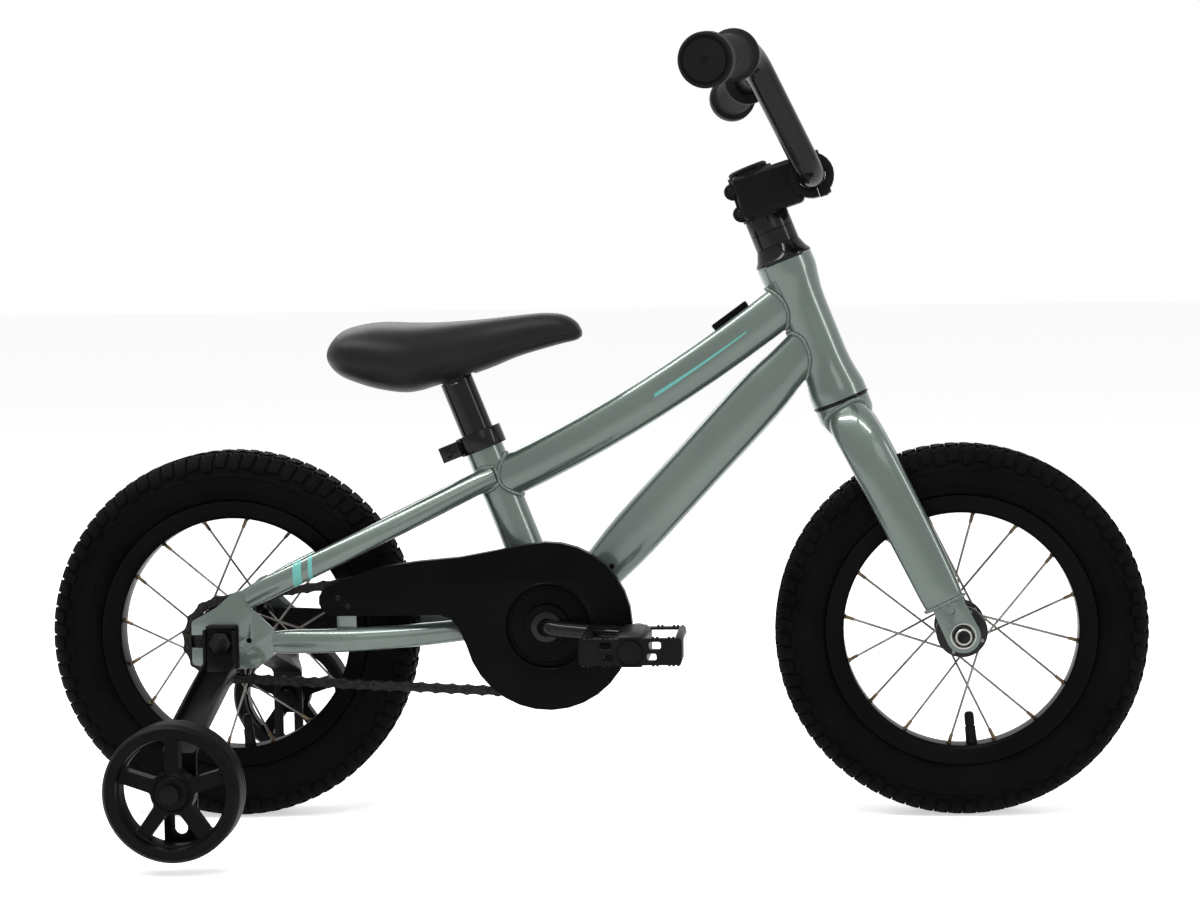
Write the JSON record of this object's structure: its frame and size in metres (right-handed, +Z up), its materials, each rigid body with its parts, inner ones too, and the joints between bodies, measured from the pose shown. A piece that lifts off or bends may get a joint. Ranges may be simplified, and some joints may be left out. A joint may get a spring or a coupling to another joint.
{
  "type": "kids bike",
  "caption": "Small sage green child's bicycle with air tyres, spoked wheels, riser bar, one-speed chain drive with half guard, back-pedal brake and height-adjustable stabilisers.",
  "frame": {"origin": "on the ground plane under the middle of the wheelbase, in the bicycle's centre plane", "axes": "+X forward along the wheelbase, +Y to the rider's left along the wheel axles, +Z up; the chain is on the -Y side"},
  "size_m": [0.9068, 0.5336, 0.6346],
  "materials": {
    "sage_paint": "metallic gloss",
    "black_metal": "gloss",
    "black_plastic": "satin",
    "zinc_steel": "zinc plated",
    "dark_steel": "oiled",
    "tyre_rubber": "matte",
    "grip_rubber": "satin",
    "saddle_cover": "satin"
  },
  "bodies": {
    "frame": {"head_tube": "sage_paint", "top_tube": "sage_paint", "top_tube_pad": "black_plastic", "down_tube": "sage_paint", "seat_tube": "sage_paint", "bottom_bracket_shell": "sage_paint", "right_bearing_cup": "dark_steel", "left_bearing_cup": "dark_steel", "right_dropout": "sage_paint", "left_dropout": "sage_paint", "right_seatstay": "sage_paint", "left_seatstay": "sage_paint", "right_chainstay": "sage_paint", "left_chainstay": "sage_paint", "chainstay_bridge": "sage_paint", "seat_clamp": "black_metal", "chain_guard": "black_plastic", "guard_tab": "sage_paint", "chain": "dark_steel", "rear_axle": "zinc_steel", "brake_arm": "zinc_steel", "brake_strap": "zinc_steel", "right_stabiliser_bracket": "black_metal", "left_stabiliser_bracket": "black_metal", "right_stabiliser_arm": "black_metal", "left_stabiliser_arm": "black_metal"},
    "fork": {"fork_steerer": "sage_paint", "right_fork_leg": "sage_paint", "left_fork_leg": "sage_paint", "lower_headset": "black_metal", "upper_headset": "black_metal", "stem": "black_metal", "stem_faceplate": "black_metal", "stem_cap": "black_metal", "front_axle": "zinc_steel"},
    "bars": {"handlebar": "black_metal", "right_grip": "grip_rubber", "left_grip": "grip_rubber"},
    "front_wheel": {"front_tyre": "tyre_rubber", "front_rim": "black_metal", "front_hub": "dark_steel", "front_valve": "grip_rubber"},
    "rear_wheel": {"rear_tyre": "tyre_rubber", "rear_rim": "black_metal", "rear_hub": "dark_steel", "rear_valve": "grip_rubber"},
    "cog": {"rear_sprocket": "dark_steel"},
    "crank": {"crank_spindle": "dark_steel", "chainring": "black_metal", "right_crank": "black_metal", "left_crank": "black_metal"},
    "right_pedal_body": {"right_pedal": "black_plastic"},
    "left_pedal_body": {"left_pedal": "black_plastic"},
    "right_axle_slide": {"right_stabiliser_axle": "zinc_steel"},
    "left_axle_slide": {"left_stabiliser_axle": "zinc_steel"},
    "right_roller": {"right_stabiliser_wheel": "black_plastic"},
    "left_roller": {"left_stabiliser_wheel": "black_plastic"},
    "post": {"seatpost": "black_metal", "saddle_clamp": "dark_steel"},
    "seat": {"saddle": "saddle_cover"}
  },
  "joints": [
    {"name": "steering", "type": "hinge", "parent": "frame", "child": "fork", "pos_m": [0.15907, 0, 0.45607], "axis": [-0.3665, 0, 0.9304], "range_deg": [-70, 70]},
    {"name": "handlebar_tilt", "type": "hinge", "parent": "fork", "child": "bars", "pos_m": [0.182, 0, 0.525], "axis": [0, 1, 0], "range_deg": [-20, 20]},
    {"name": "front_wheel_spin", "type": "hinge", "parent": "fork", "child": "front_wheel", "pos_m": [0.3009, 0, 0.1525], "axis": [0, 1, 0], "continuous": true},
    {"name": "rear_wheel_spin", "type": "hinge", "parent": "frame", "child": "rear_wheel", "pos_m": [-0.3009, 0, 0.1525], "axis": [0, 1, 0], "continuous": true},
    {"name": "crank_spin", "type": "hinge", "parent": "frame", "child": "crank", "pos_m": [-0.03553, 0, 0.163], "axis": [0, 1, 0], "continuous": true, "deforming": ["chain"]},
    {"name": "sprocket_spin", "type": "hinge", "parent": "frame", "child": "cog", "pos_m": [-0.3009, 0, 0.1525], "axis": [0, 1, 0], "continuous": true, "deforming": ["chain"]},
    {"name": "right_pedal_spin", "type": "hinge", "parent": "crank", "child": "right_pedal_body", "pos_m": [0.03912, -0.114, 0.15581], "axis": [0, 1, 0], "continuous": true},
    {"name": "left_pedal_spin", "type": "hinge", "parent": "crank", "child": "left_pedal_body", "pos_m": [-0.11018, 0.114, 0.17019], "axis": [0, 1, 0], "continuous": true},
    {"name": "seatpost_height", "type": "slide", "parent": "frame", "child": "post", "axis": [-0.3641, 0, 0.9314], "range_m": [-0.012, 0.045]},
    {"name": "saddle_tilt", "type": "hinge", "parent": "post", "child": "seat", "pos_m": [-0.1172, 0, 0.372], "axis": [0, 1, 0], "range_deg": [-8, 8]},
    {"name": "right_stabiliser_height", "type": "slide", "parent": "frame", "child": "right_axle_slide", "axis": [0, 0, 1], "range_m": [-0.008, 0.008]},
    {"name": "left_stabiliser_height", "type": "slide", "parent": "frame", "child": "left_axle_slide", "axis": [0, 0, 1], "range_m": [-0.008, 0.008]},
    {"name": "right_stabiliser_spin", "type": "hinge", "parent": "right_axle_slide", "child": "right_roller", "pos_m": [-0.302, -0.22765, 0.0631], "axis": [0, 1, 0], "continuous": true},
    {"name": "left_stabiliser_spin", "type": "hinge", "parent": "left_axle_slide", "child": "left_roller", "pos_m": [-0.302, 0.22765, 0.0631], "axis": [0, 1, 0], "continuous": true}
  ],
  "couplings": [
    {"joint": "sprocket_spin", "follows": "crank_spin", "ratio": 1.75}
  ]
}
